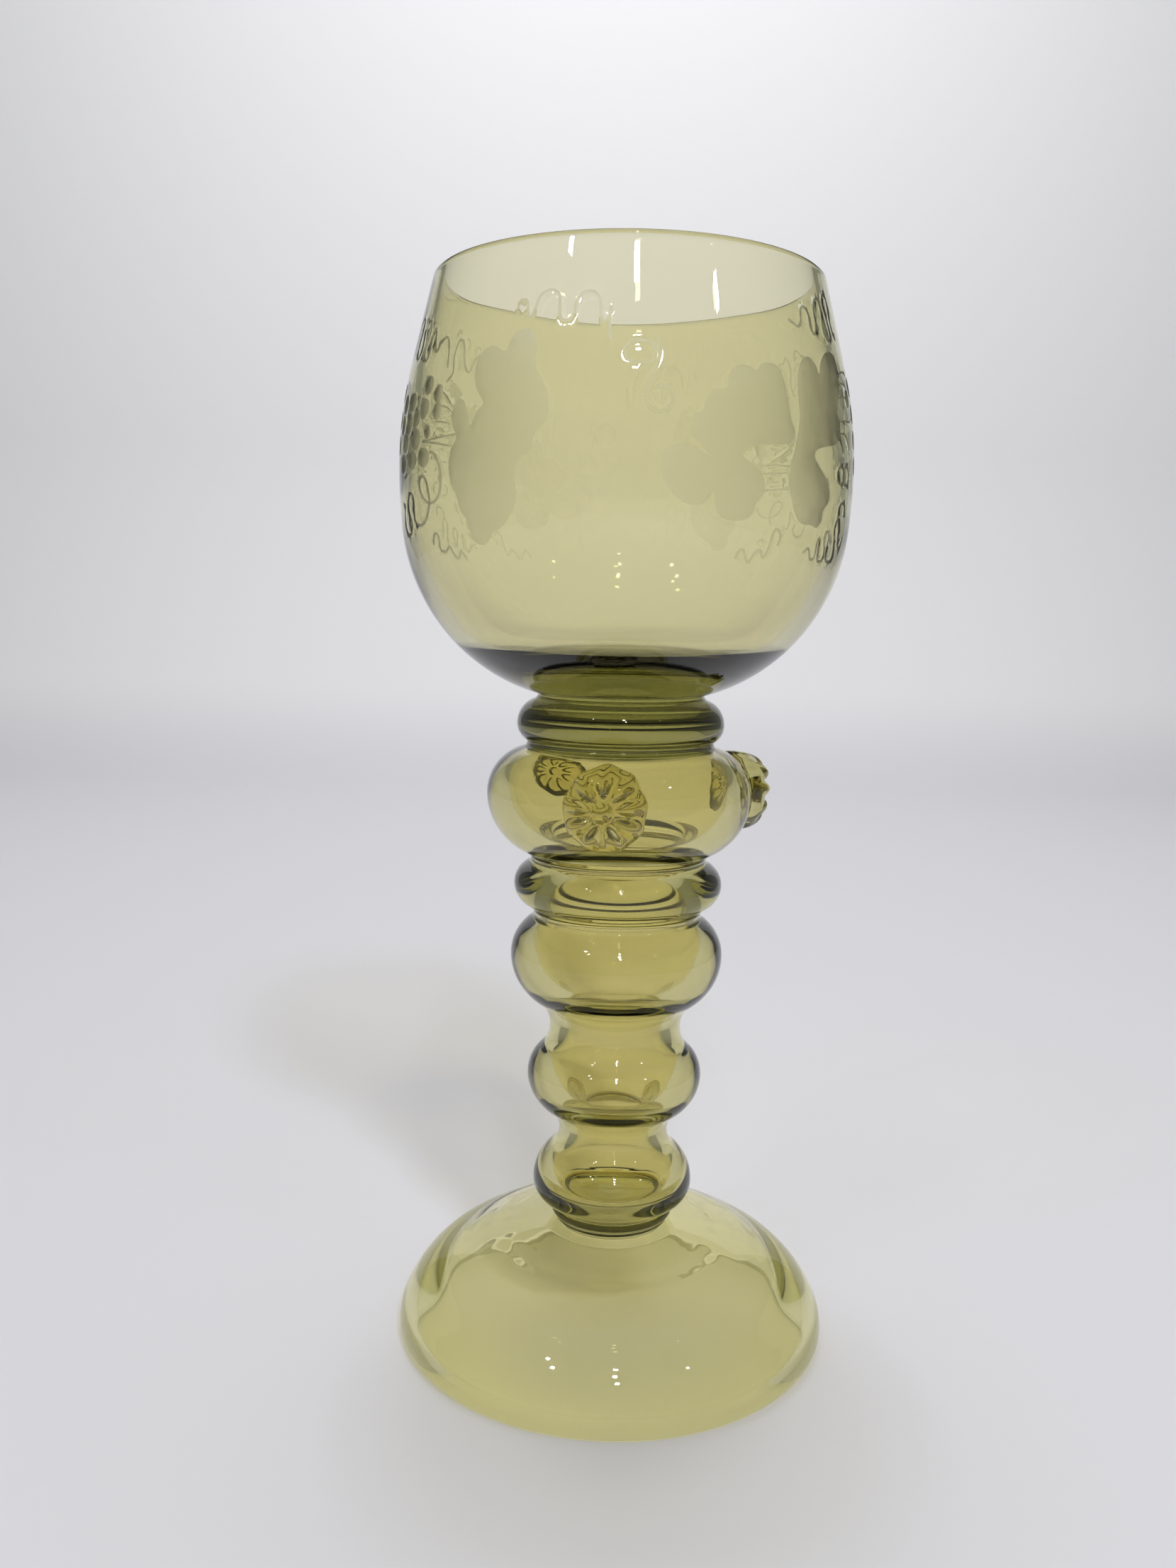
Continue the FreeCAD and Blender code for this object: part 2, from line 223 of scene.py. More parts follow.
# Wheel engraving on the bowl. Places are (degrees round from the front, height). The back
# has the same pattern, turned.
BAND_LOW = 139.0
BAND_HIGH = 187.4
CUT_CLEARANCE = 0.38
JOIN_DISTANCE = 1e-5
LEAF_DEPTH = 0.10
LEAF_SLOPE = 0.7
GRAPE_DEPTH = 0.18
GRAPE_EDGE_POINTS = 22
GRAPE_INNER_RINGS = ((0.8, 16), (0.5, 10))
STROKE_DEPTH = 0.06
STROKE_STEP = 0.55
CURVE_STEPS = 4
BACK_TURN = 184
LEAVES = (
    ((-38.6, 170), (-37.8, 172), (-36, 173), (-33.5, 173.2), (-31.2, 172.4), (-30, 172.2),
     (-29, 174), (-27, 175.2), (-24, 175), (-22.3, 173.2), (-22.2, 169.5), (-20.2, 167.5),
     (-18.6, 164.8), (-18.9, 161.8), (-21.5, 159.8), (-22.6, 157.2), (-25.4, 156.2), (-26.4, 153.8),
     (-26, 151), (-27.2, 148.4), (-29.8, 146.4), (-32.6, 145.4), (-34.8, 143.8), (-37.6, 143.8),
     (-39.4, 145.2), (-39.8, 147), (-42.2, 149), (-43.2, 151.2), (-45, 153.2), (-45.6, 155.6),
     (-45, 158), (-43.4, 159.4), (-43.2, 160.6), (-44.8, 162.2), (-44.7, 164.4), (-43, 165.8),
     (-41, 165.3), (-39.6, 163.2), (-38.7, 161.4), (-37.9, 162.2), (-36.6, 163.8), (-35, 164.6),
     (-36, 165.8), (-37.8, 167.4)),
    ((30.2, 170.9), (33, 171.3), (35.4, 170.7), (36.8, 168.9), (37.6, 166.4), (38.3, 163.5),
     (39.6, 161.2), (38.4, 159.8), (34, 159.2), (29, 158.9), (25.8, 158), (25, 156.9),
     (27, 156.2), (29.6, 155.1), (31.1, 153.2), (30.5, 151.4), (28.9, 150.3), (28.4, 148.9),
     (26.4, 147.8), (22.6, 147.6), (19.6, 148.4), (18.6, 150.3), (18.4, 152), (16.6, 150.2),
     (13.6, 149.6), (10, 150.4), (7.4, 152.4), (6.2, 155), (6.6, 157.2), (9.4, 158.3),
     (13, 158.1), (16.8, 156.9), (14.4, 158.6), (12.6, 160.4), (13, 162.6), (15.3, 163.3),
     (16, 165.2), (18, 166.6), (21, 166.8), (21.6, 168.9), (23.6, 170.2), (26.6, 170.4),
     (28.8, 169.9)),
    ((41.3, 164.6), (41.1, 168.6), (42.4, 171.5), (44.6, 173.1), (47.4, 173.3), (49.4, 172.3),
     (50.3, 171), (51.8, 172.9), (54.4, 174.5), (57.4, 175.3), (60.4, 175.3), (62.2, 174),
     (62.3, 172), (61, 169.5), (59.5, 167.4), (58.4, 165.9), (59.5, 164.8), (59.9, 163),
     (58.6, 161.4), (55.4, 160.5), (51.5, 160), (47.9, 159.3), (46.8, 158.3), (48.2, 157.2),
     (50.6, 156), (53.2, 154.7), (54.6, 152.9), (53.9, 151.2), (52.1, 150.2), (51.8, 148.5),
     (50, 147.4), (47.4, 147.7), (43.6, 147.8), (41, 149.1), (39.3, 151.5), (38, 153.6),
     (38.2, 156.2), (39.4, 158.4), (40.2, 160.6), (40.9, 162.4)),
)
GRAPES = (
    (-56.2, 157.6, 1.85, 1.55), (-63, 157.6, 2, 1.5), (-70.4, 157.5, 2, 1.6),
    (-60.9, 160.7, 1.8, 1.7), (-68.6, 160.7, 1.8, 1.6), (-66.4, 163.7, 1.75, 1.75),
    (-72.4, 163.9, 1.5, 1.6), (-71.6, 167.2, 1.7, 1.6), (-65, 167, 1.7, 1.5),
    (-51, 167.2, 1.35, 1.45), (-50.8, 164.5, 1.25, 1.4), (-56, 168.9, 1.5, 1.5),
    (-57, 165.3, 1.6, 1.6), (-54.3, 161.5, 0.8, 1.1), (-61.2, 164.2, 1.6, 1.4),
    (-77, 161, 1.7, 1.7), (-78, 165.2, 1.7, 1.6), (-77.2, 169.6, 1.6, 1.6),
    (68, 169, 1.5, 1.5), (73.2, 171.3, 1.7, 1.6), (73.4, 167, 1.7, 1.6),
    (78.6, 169.4, 1.7, 1.7), (78.8, 165.2, 1.7, 1.6), (74, 162.8, 1.6, 1.6),
    (79.4, 161.2, 1.7, 1.6), (75, 158.6, 1.6, 1.6), (80, 157.2, 1.6, 1.5),
    (84.2, 167.4, 1.7, 1.6), (84.6, 163.2, 1.6, 1.6), (85, 159.4, 1.5, 1.6),
)
STALK_HALF_WIDTH = 0.16
STALKS = (
    ((-57, 160.1), (-50, 160.3), (-42.6, 160.5)),
    ((-57, 160.1), (-50.5, 159.5), (-43.8, 158.6)),
    ((-49.6, 167.5), (-47.2, 166.4), (-44.8, 164.7)),
    ((-49.4, 165.2), (-47, 164.8), (-44.6, 163.8)),
    ((-51, 162.9), (-48, 162.6), (-45.2, 162.1)),
    ((30.8, 152.2), (34, 152.5), (38.2, 152.8)),
    ((30.4, 154.7), (34, 154.9), (37.9, 155.2)),
    ((30, 155.8), (33.6, 156.2), (38, 156.1)),
    ((32.6, 156.5), (35.4, 157.6), (38.2, 158.9)),
    ((62.3, 172.3), (65.2, 172.9), (68.4, 173.1), (71, 172.5)),
    ((61.6, 170.8), (65, 171), (67.8, 170.7)),
    ((60.3, 168.3), (63.2, 168.8), (66.2, 168.8)),
    ((59.8, 164.5), (63.4, 165), (68, 165.2), (71.2, 166.2)),
    ((59.6, 162.6), (62.6, 162.8), (65.4, 161.6), (66.8, 160)),
)
TENDRIL_HALF_WIDTH = 0.24
TENDRILS = (
    ((-53.4, 158.4), (-50.6, 157.6), (-48.5, 154.6), (-49.6, 151.6), (-53, 150.4), (-56.6, 151.2),
     (-58.6, 153.4), (-57.2, 154.8), (-55, 153.9), (-53.9, 151.4), (-54.6, 149.2), (-57.2, 147.5),
     (-60.6, 147.2), (-62.8, 148.2), (-62.6, 151.2), (-64.6, 152.5), (-66.4, 151.4), (-66.6, 149.6),
     (-65, 147.4), (-67.4, 145.9), (-70.6, 146.6), (-71, 149.6), (-69.8, 150.6), (-72.4, 151.2)),
    ((-48.6, 171.2), (-49.6, 174.6), (-51.4, 176), (-53.6, 175.2), (-55, 174), (-56.6, 175.4),
     (-57.8, 177.6), (-59.4, 176.6), (-59.2, 174), (-60.8, 173.1), (-62.4, 174.6), (-61.6, 178.2),
     (-63.6, 180), (-65.8, 178.4), (-65.2, 175.4), (-67.4, 174.1), (-69.2, 176), (-68.8, 179.6),
     (-71.2, 181.2), (-73.4, 179.6)),
    ((-38.6, 171.8), (-40.4, 169.6), (-42.2, 171), (-43.4, 174), (-45.4, 175), (-46.6, 172.6),
     (-46, 170), (-47.8, 169)),
    ((-28.4, 178.4), (-28.2, 179.7), (-26.2, 179.6), (-25.6, 178), (-24.6, 177), (-23.6, 178.6),
     (-22.8, 180.2), (-20.4, 181), (-18, 180.2), (-17.6, 178.2), (-17.2, 176.6), (-15.4, 176.2),
     (-14, 177.2), (-13.6, 179.2), (-11.8, 180.4), (-9, 180.2), (-7.8, 178.4), (-7.6, 176.6),
     (-6.6, 175.8), (-5.5, 177.2), (-5.4, 178.4), (-5.6, 175.6), (-5.4, 173.2)),
    ((1.6, 169.8), (-1, 170.2), (-2.1, 171.6), (-0.8, 172.9), (1.6, 173.2), (4, 172.7),
     (4.9, 171.4), (3.8, 170.1), (1.9, 169.8)),
    ((5.2, 173.6), (5.9, 171.8), (5.2, 169.6), (3.4, 167.2), (2.4, 165), (4, 163.2),
     (6.8, 163), (8.4, 164.6), (7.6, 166.4), (5.4, 166.6)),
    ((40.8, 178.6), (42.4, 178.2), (44.4, 177.8), (45.8, 178.8), (46.4, 180.6), (48.4, 181.3),
     (49.9, 180.2), (49.8, 178.2), (51.2, 177.3), (52.8, 178.6), (53.2, 181.4), (54.6, 183),
     (56.8, 183.4), (57.8, 181.8), (57, 178.6), (58.8, 177.2), (61.4, 178), (60.9, 180.6),
     (59.8, 183.2), (61.8, 184.8), (64, 184.2), (63.6, 181.4), (64.4, 178.8), (66.6, 178.2)),
    ((46, 143.4), (47.6, 144.2), (48.6, 143.6), (49.8, 142.5), (51.4, 142.9), (51.2, 144.8),
     (52, 146), (52.4, 144.2), (53.2, 142.5), (55.4, 142.4), (55.9, 143.8), (54.4, 145.8),
     (55.4, 147.1), (57, 146.2), (56.8, 143.6), (58.8, 142.4), (61.4, 142.9), (61, 145),
     (59.6, 147.6), (60.9, 149.1), (62.4, 147.8), (63.6, 145.2), (65.8, 144.9), (66.8, 146.4)),
    ((58.6, 155.3), (58.4, 156.6), (60.2, 157.5), (62.4, 156.8), (62.2, 155.1), (60.2, 154.8),
     (58.9, 155)),
    ((62, 155.8), (62.6, 157.3), (64.6, 157.8), (66.6, 156.8), (66.2, 155.2), (64, 154.8),
     (62.3, 155.3)),
    ((61, 149.4), (61, 151), (63, 151.9), (65.2, 151.4), (65.4, 149.6)),
    ((-42, 141.6), (-43.4, 142.9), (-44.6, 141.8), (-46, 142.2), (-47.4, 143.6), (-49.2, 142.8),
     (-51.4, 143.2), (-51.2, 145.2), (-53, 145.6), (-54.2, 143.8)),
    ((25, 142), (26.4, 143.6), (27.6, 142.4), (28.8, 141.4), (30, 143), (31.8, 143.4),
     (32.6, 142.2), (34, 144), (35, 146.6), (37, 146), (36.6, 144.2)),
)


class Outline:
    """Points drawn one after another, each (distance from the axis, height)."""

    def __init__(self, radius, height, heading=UPRIGHT):
        self.points = [(radius, height)]
        self.heading = heading

    def line_to(self, radius, height):
        x, z = self.points[-1]
        along = math.atan2(height - z, radius - x)
        length = math.hypot(radius - x, height - z)
        steps = max(1, math.ceil(length / LONGEST_STEP))
        for step in range(1, steps + 1):
            share = step / steps
            self.points.append((x + (radius - x) * share, z + (height - z) * share))
        self.heading = along

    def arc_to(self, radius, height):
        """A round stretch that leaves along the heading of the one before."""
        x, z = self.points[-1]
        chord = math.hypot(radius - x, height - z)
        along = math.atan2(height - z, radius - x)
        half = math.remainder(along - self.heading, FULL_TURN)
        bend = chord / (2 * math.sin(half))
        turn = abs(2 * half)
        steps = max(2, math.ceil(turn / ARC_STEP), math.ceil(abs(2 * half * bend) / LONGEST_STEP))
        for step in range(1, steps + 1):
            ahead = self.heading + 2 * half * step / steps
            self.points.append((
                x + bend * (math.sin(ahead) - math.sin(self.heading)),
                z - bend * (math.cos(ahead) - math.cos(self.heading)),
            ))
        self.heading = along + half

    def swell_to(self, radius, height, bulge):
        """Two tangent arcs between upright places. Bulge is the radius of the wider side's."""
        x, z = self.points[-1]
        reach = radius - x
        rise = height - z
        both = swell_radius((x, z), (radius, height))
        turn = math.atan2(rise, both - abs(reach))
        lower = both - bulge if reach > 0 else bulge
        self.arc_to(x + math.copysign(lower * (1 - math.cos(turn)), reach), z + lower * math.sin(turn))
        self.arc_to(radius, height)


def swell_radius(low, high):
    """The radii of both arcs of a swell added up."""
    reach = high[0] - low[0]
    rise = high[1] - low[1]
    return (reach ** 2 + rise ** 2) / (2 * abs(reach))


def place(node):
    """Lowest height, highest height and widest radius of a CAD node, in millimetres."""
    low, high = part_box(node)
    return low.z / MM, high.z / MM, high.x / MM


def wander(x, y, z, depth, seed):
    """How far hand work moved a wall in at this place, from zero to depth."""
    spot = Vector((x, y, z)) / WANDER_LENGTH + Vector((seed, seed, seed))
    return depth * (0.5 + 0.5 * noise.noise(spot))


def turned(name, skin, air=None, band=None):
    """A closed glass shape: the skin outline turned round the axis, less the air outline. The
    band, if there is one, is a stretch of the skin that is made by its own rule."""
    mesh_points = []
    faces = []
    frosted = []

    def add_surface(points, depth, seed, outward, gap=None):
        rings = []
        for radius, height in points:
            if radius < ON_AXIS:
                rings.append([len(mesh_points)])
                mesh_points.append((0, 0, height * MM))
                continue
            ring = []
            for step in range(ROUND_STEPS):
                angle = FULL_TURN * step / ROUND_STEPS
                x = radius * math.cos(angle)
                y = radius * math.sin(angle)
                pulled = 1 - wander(x, y, height, depth, seed) / max(radius, WANDER_LENGTH)
                ring.append(len(mesh_points))
                mesh_points.append((x * pulled * MM, y * pulled * MM, height * MM))
            rings.append(ring)
        for row, (low, high) in enumerate(zip(rings, rings[1:])):
            if gap and gap[0] <= row < gap[1]:
                continue
            for step in range(ROUND_STEPS):
                corners = [
                    low[step % len(low)], low[(step + 1) % len(low)],
                    high[(step + 1) % len(high)], high[step % len(high)],
                ]
                corners = list(dict.fromkeys(corners))
                if len(corners) > 2:
                    faces.append(corners if outward else corners[::-1])

    if not band:
        add_surface(skin, SKIN_WANDER, SKIN_SEED, True)
    else:
        low_row, high_row, radius_at = band
        add_surface(skin, SKIN_WANDER, SKIN_SEED, True, (low_row, high_row))
        first = len(mesh_points)
        plain = len(faces)
        spots, triangles, cuts = engraved_band(skin[low_row][1], skin[high_row][1], radius_at)
        for azimuth, height, depth in spots:
            radius = radius_at(height)
            x = radius * math.sin(azimuth)
            y = -radius * math.cos(azimuth)
            pulled = 1 - wander(x, y, height, SKIN_WANDER, SKIN_SEED) / max(radius, WANDER_LENGTH)
            sunk = pulled - depth / radius
            mesh_points.append((x * sunk * MM, y * sunk * MM, height * MM))
        faces += [[first + corner for corner in corners] for corners in triangles]
        frosted = [0.0] * plain + cuts
    if air:
        add_surface(air, INNER_WANDER, INNER_SEED, False)
    return new_piece(name, mesh_points, faces, frosted)


def new_piece(name, points, faces, frosted=(), turn_out=False):
    """A mesh object with merged doubles, smooth but for its sharp corners. Frosted says, for
    each of the first faces, whether the engraver's wheel left it matt. Turn out makes faces
    point outwards that don't yet."""
    mesh = bpy.data.meshes.new(name)
    mesh.from_pydata(points, [], faces)
    if frosted:
        matt = mesh.attributes.new("frosted", "FLOAT", "FACE")
        matt.data.foreach_set("value", list(frosted) + [0.0] * (len(faces) - len(frosted)))
    work = bmesh.new()
    work.from_mesh(mesh)
    bmesh.ops.remove_doubles(work, verts=work.verts, dist=MERGE_DISTANCE)
    if turn_out:
        bmesh.ops.recalc_face_normals(work, faces=work.faces)
    work.to_mesh(mesh)
    work.free()
    mesh.shade_smooth()
    mesh.set_sharp_from_angle(angle=SHARP_ANGLE)
    piece = bpy.data.objects.new(name, mesh)
    bpy.context.scene.collection.objects.link(piece)
    return piece


def smooth_path(places, looped):
    """Points of a rounded curve through the places, on the unrolled wall in millimetres."""
    spots = [Vector((math.radians(azimuth) * BELLY_RADIUS, height)) for azimuth, height in places]
    count = len(spots)
    path = []
    for number in range(count if looped else count - 1):
        if looped:
            before, start, end, after = (spots[(number + offset) % count] for offset in (-1, 0, 1, 2))
        else:
            before, start = spots[max(number - 1, 0)], spots[number]
            end, after = spots[number + 1], spots[min(number + 2, count - 1)]
        for step in range(CURVE_STEPS):
            t = step / CURVE_STEPS
            path.append(0.5 * (
                2 * start + (end - before) * t + (2 * before - 5 * start + 4 * end - after) * t ** 2
                + (3 * start - before - 3 * end + after) * t ** 3))
    if not looped:
        path.append(spots[-1])
    return path


def even_path(path, spacing):
    """The same path with its points an even distance apart."""
    even = [path[0]]
    left = spacing
    for start, end in zip(path, path[1:]):
        length = (end - start).length
        while left <= length and length > 0:
            even.append(start.lerp(end, left / length))
            left += spacing
        left -= length
    if (even[-1] - path[-1]).length > spacing / 2:
        even.append(path[-1])
    return even


def distance_to(spot, path, looped):
    """How far a spot lies from a path of straight stretches."""
    nearest = math.inf
    ends = path[1:] + path[:1] if looped else path[1:]
    for start, end in zip(path, ends):
        along = end - start
        share = (spot - start).dot(along) / max(along.length_squared, 1e-9)
        gap = (spot - start - along * min(max(share, 0), 1)).length
        nearest = min(nearest, gap)
    return nearest


def is_within(spot, loop):
    """Whether a spot lies inside a closed loop."""
    inside = False
    for start, end in zip(loop, loop[1:] + loop[:1]):
        if (start.y > spot.y) != (end.y > spot.y):
            crossing = start.x + (spot.y - start.y) / (end.y - start.y) * (end.x - start.x)
            if crossing > spot.x:
                inside = not inside
    return inside


class Leaf:
    """A vine leaf ground matt, a little deeper than the wall round it."""

    def __init__(self, places):
        self.edge = even_path(smooth_path(places, True), STROKE_STEP)
        self.extra = []

    def depth(self, spot):
        if not is_within(spot, self.edge):
            return 0
        share = min(distance_to(spot, self.edge, True) / LEAF_SLOPE, 1)
        return LEAF_DEPTH * share * (2 - share)


class Grape:
    """A round hollow ground with the edge of the wheel."""

    def __init__(self, azimuth, height, half_width, half_height):
        self.middle = Vector((math.radians(azimuth) * BELLY_RADIUS, height))
        self.reach = Vector((half_width, half_height))
        self.edge = self.ring(1, GRAPE_EDGE_POINTS)
        self.extra = []
        for share, count in GRAPE_INNER_RINGS:
            self.extra += self.ring(share, count)
        self.extra.append(self.middle)

    def ring(self, share, count):
        places = []
        for step in range(count):
            turn = FULL_TURN * step / count
            off = Vector((self.reach.x * math.sin(turn), self.reach.y * math.cos(turn)))
            places.append(self.middle + off * share)
        return places

    def depth(self, spot):
        off = spot - self.middle
        share = (off.x / self.reach.x) ** 2 + (off.y / self.reach.y) ** 2
        return GRAPE_DEPTH * max(1 - share, 0)


class Stroke:
    """A line drawn with the edge of a thin wheel."""

    def __init__(self, places, half_width):
        self.half_width = half_width
        self.path = even_path(smooth_path(places, False), STROKE_STEP)
        left = []
        right = []
        count = len(self.path)
        for number, spot in enumerate(self.path):
            along = (self.path[min(number + 1, count - 1)] - self.path[max(number - 1, 0)]).normalized()
            across = Vector((-along.y, along.x)) * half_width
            left.append(spot + across)
            right.append(spot - across)
        self.edge = left + right[::-1]
        self.extra = self.path[1:-1]

    def depth(self, spot):
        share = distance_to(spot, self.path, False) / self.half_width
        return STROKE_DEPTH * max(1 - share ** 2, 0)


def engraved_motifs():
    """Leaves, grapes, stalks and tendrils, once for the front and once for the back."""
    motifs = []
    for turn in (0, BACK_TURN):
        def moved(places):
            return [(math.remainder(azimuth + turn, 360), height) for azimuth, height in places]

        motifs += [Leaf(moved(places)) for places in LEAVES]
        for azimuth, height, half_width, half_height in GRAPES:
            motifs.append(Grape(*moved([(azimuth, height)])[0], half_width, half_height))
        motifs += [Stroke(moved(places), STALK_HALF_WIDTH) for places in STALKS]
        motifs += [Stroke(moved(places), TENDRIL_HALF_WIDTH) for places in TENDRILS]
    return motifs


def engraved_band(low, high, radius_at):
    """The bowl's decorated stretch as triangles that follow every cut. Gives the points as
    (angle from the front, height, depth), the triangles, and for each whether it is matt."""
    half = math.pi * BELLY_RADIUS
    spots = []
    edges = []

    def add_loop(loop):
        first = len(spots)
        spots.extend(loop)
        edges.extend((number, number + 1) for number in range(first, len(spots) - 1))
        edges.append((len(spots) - 1, first))

    rows = max(2, round((high - low) / LONGEST_STEP))
    heights = [low + (high - low) * row / rows for row in range(rows + 1)]
    columns = [half * (2 * step / ROUND_STEPS - 1) for step in range(ROUND_STEPS + 1)]
    border = [Vector((column, low)) for column in columns]
    border += [Vector((half, height)) for height in heights[1:-1]]
    border += [Vector((column, high)) for column in reversed(columns)]
    border += [Vector((-half, height)) for height in reversed(heights[1:-1])]
    add_loop(border)
    motifs = engraved_motifs()
    for motif in motifs:
        add_loop(motif.edge)
        spots.extend(motif.extra)
    taken = kdtree.KDTree(len(spots))
    for number, spot in enumerate(spots):
        taken.insert((spot.x, spot.y, 0), number)
    taken.balance()
    for row, height in enumerate(heights[1:-1]):
        for column in columns[1:-1]:
            spot = Vector((column + (row % 2) * half / ROUND_STEPS, height))
            if taken.find((spot.x, spot.y, 0))[2] > CUT_CLEARANCE:
                spots.append(spot)
    made, _, triangles, _, _, _ = geometry.delaunay_2d_cdt(spots, edges, [], 0, JOIN_DISTANCE)

    cells = {}
    for motif in motifs:
        across = [math.floor(spot.x) for spot in motif.edge]
        up = [math.floor(spot.y) for spot in motif.edge]
        for x in range(min(across), max(across) + 1):
            for y in range(min(up), max(up) + 1):
                cells.setdefault((x, y), []).append(motif)

    def depth_at(spot):
        near = cells.get((math.floor(spot.x), math.floor(spot.y)), ())
        return max((motif.depth(spot) for motif in near), default=0)

    points = [(spot.x / BELLY_RADIUS, spot.y, depth_at(spot)) for spot in made]
    cuts = []
    faces = []
    for corners in triangles:
        a, b, c = (made[corner] for corner in corners)
        if (b - a).cross(c - a) < 0:
            corners = corners[::-1]
        faces.append(corners)
        cuts.append(1.0 if depth_at((a + b + c) / 3) > 0 else 0.0)
    return points, faces, cuts


def closed(outline):
    """An outline's points with both ends led to the axis."""
    points = list(outline.points)
    if points[0][0] > 0:
        points.insert(0, (0, points[0][1]))
    if points[-1][0] > 0:
        points.append((0, points[-1][1]))
    return points


def bead(base, widest, top, shares):
    """The outline of a bead that is upright where it meets its neighbours."""
    skin = Outline(*base)
    skin.swell_to(*widest, swell_radius(base, widest) * shares[0])
    skin.swell_to(*top, swell_radius(widest, top) * shares[1])
    return skin


def make_foot():
    """The dome with its hollow and the ring that the pontil left."""
    low, high, radius = place("foot")
    edge = low + FOOT_EDGE_RISE
    height = high - low
    rim = (radius * FOOT_RIM_SHARES[0], low + height * FOOT_RIM_SHARES[1])
    shoulder = (radius * FOOT_SHOULDER_SHARES[0], low + height * FOOT_SHOULDER_SHARES[1])
    rise = math.atan2(FOOT_EDGE_RISE, radius - FOOT_RESTING_RADIUS)
    skin = Outline(FOOT_RESTING_RADIUS, low, 2 * rise - UPRIGHT)
    skin.arc_to(radius, edge)
    for point in (rim, shoulder):
        skin.arc_to(*point)
    skin.arc_to(COLLAR_BASE_RADIUS, high)
    hollow = [(FOOT_RESTING_RADIUS - FOOT_RING_WIDTH, low)]
    for before, point, after in zip(skin.points, skin.points[1:], skin.points[2:]):
        if point[1] < edge:
            continue
        along = math.hypot(after[0] - before[0], after[1] - before[1])
        wall = foot_wall(point[0])
        hollow.append((point[0] - wall * (after[1] - before[1]) / along,
                       point[1] + wall * (after[0] - before[0]) / along))
    hollow.append((0, hollow[-1][1]))
    foot = turned("domed_foot", [hollow[0]] + skin.points + [(0, high)], hollow)
    for vertex in foot.data.vertices:
        spot = vertex.co / MM
        radius = math.hypot(spot.x, spot.y)
        near = 1 - abs(radius - FOOT_SCAR_RADIUS) / FOOT_SCAR_REACH
        if near <= 0:
            continue
        over = next(point[1] for point in skin.points if point[0] <= radius)
        if edge < spot.z < over - FOOT_WALL / 2:
            around = Vector((spot.x, spot.y, 0)).normalized()
            waves = sum(share * noise.noise(around * turns) for share, turns in FOOT_SCAR_WAVES)
            moved = FOOT_SCAR_WANDER * near * waves
            vertex.co += around * moved * MM
    return foot


def eased(value, start, end):
    """From zero at start to one at end, with soft turns."""
    share = min(max((value - start) / (end - start), 0), 1)
    return share * share * (3 - 2 * share)


def foot_wall(radius):
    """How thick the dome is at a distance from the axis."""
    rim = (FOOT_RIM_WALL - FOOT_WALL) * eased(radius, *FOOT_RIM_REACH)
    pad = (FOOT_PAD_WALL - FOOT_WALL) * eased(radius, *FOOT_PAD_REACH)
    scar = FOOT_SCAR_STEP * eased(abs(radius - FOOT_SCAR_RADIUS), FOOT_SCAR_HALF_WIDTH, 0)
    ripple = FOOT_RIPPLE * math.sin(FULL_TURN * radius / FOOT_RIPPLE_LENGTH)
    ripple_share = eased(radius, *FOOT_RIPPLE_START) * eased(radius, *FOOT_RIPPLE_END)
    return FOOT_WALL + rim + pad + scar + ripple * ripple_share


def make_collar():
    """The small ring between the foot and the stem."""
    low, high, radius = place("stem_collar")
    ring = Outline(COLLAR_BASE_RADIUS, low - WELD_OVERLAP)
    ring.arc_to(radius, (low + high) / 2)
    ring.arc_to(STEM_BASE_RADIUS, high + WELD_OVERLAP)
    return turned("collar_ring", closed(ring))


def make_stem():
    """The blown stem with its three knops, closed below and open to the ring above."""
    low, high, _ = place("stem")
    places = [(STEM_BASE_RADIUS, low)]
    height = low
    for number, (radius, rise) in enumerate(STEM_KNOPS):
        height += rise
        places.append((radius, height))
        if number < len(STEM_NECKS):
            height += STEM_NECKS[number][1]
            places.append((STEM_NECKS[number][0], height))
    places.append((STEM_TOP_RADIUS, high))
    skin = Outline(*places[0])
    for start, end, share in zip(places, places[1:], STEM_SHARES):
        skin.swell_to(*end, swell_radius(start, end) * share)
    corner = STEM_KNOPS[0][1] + STEM_AIR_LIFT - STEM_FLOOR
    radii = [STEM_AIR_KNOPS[0]]
    for neck, knop in zip(STEM_AIR_NECKS, STEM_AIR_KNOPS[1:]):
        radii += [neck, knop]
    radii.append(BORE_RADIUS)
    inner = [(radius, min(height + STEM_AIR_LIFT, high))
             for radius, (_, height) in zip(radii, places[1:])]
    across = STEM_AIR_KNOPS[0] - STEM_FLOOR_RADIUS
    sine = math.sin(STEM_FLOOR_TURN)
    cosine = math.cos(STEM_FLOOR_TURN)
    sag = (across * cosine - corner * (1 - sine)) / (sine * cosine - (1 - sine) * (1 - cosine))
    air = Outline(STEM_FLOOR_RADIUS, low + STEM_FLOOR, 0)
    air.arc_to(STEM_FLOOR_RADIUS + sag * sine, low + STEM_FLOOR + sag * (1 - cosine))
    air.arc_to(*inner[0])
    for start, end, share in zip(inner, inner[1:], STEM_AIR_SHARES):
        air.swell_to(*end, swell_radius(start, end) * share)
    outline = [(0, low)] + skin.points + [air.points[-1]]
    return turned("knopped_stem", outline, [(0, air.points[0][1])] + air.points)


def make_lower_ring():
    """The bead with the stem's hollow running through it."""
    low, high, radius = place("lower_ring")
    skin = bead((STEM_TOP_RADIUS, low - WELD_OVERLAP), (radius, low + RING_RISE),
                (BULGE_BASE_RADIUS, high + WELD_OVERLAP), RING_SHARES)
    bore = Outline(BORE_RADIUS, low - WELD_OVERLAP)
    bore.line_to(BORE_RADIUS, high + WELD_OVERLAP)
    outline = [bore.points[0]] + skin.points + [bore.points[-1]]
    return turned("lower_bead", outline, bore.points)


